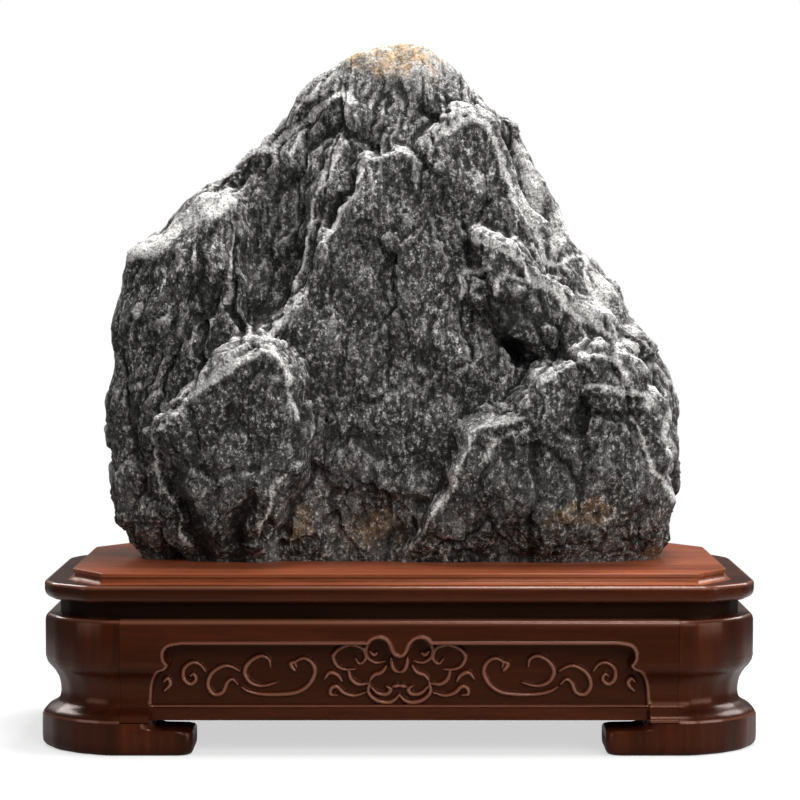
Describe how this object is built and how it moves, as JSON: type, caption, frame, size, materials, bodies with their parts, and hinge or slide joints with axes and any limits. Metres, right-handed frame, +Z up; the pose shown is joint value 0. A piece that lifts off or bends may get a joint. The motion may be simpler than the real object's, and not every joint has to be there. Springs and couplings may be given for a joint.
{
  "type": "scholars rock",
  "caption": "Weathered grey mountain-shaped viewing stone on a low carved hardwood stand with bulging legs and a scroll-carved apron.",
  "frame": {"origin": "on the ground, under the middle of the stand", "axes": "+X along the long side of the stand, +Y towards its back, +Z up"},
  "size_m": [0.404, 0.2, 0.4005],
  "materials": {
    "stone": "rough weathered",
    "wood": "satin lacquer",
    "top_wood": "satin lacquer",
    "dark_wood": "satin lacquer"
  },
  "bodies": {
    "root": {"rock": "stone", "top_panel": "top_wood", "top_plate": "wood", "waist": "dark_wood", "apron_front": "wood", "apron_back": "wood", "apron_left": "wood", "apron_right": "wood", "leg_front_right": "wood", "leg_front_left": "wood", "leg_back_right": "wood", "leg_back_left": "wood"}
  },
  "joints": []
}
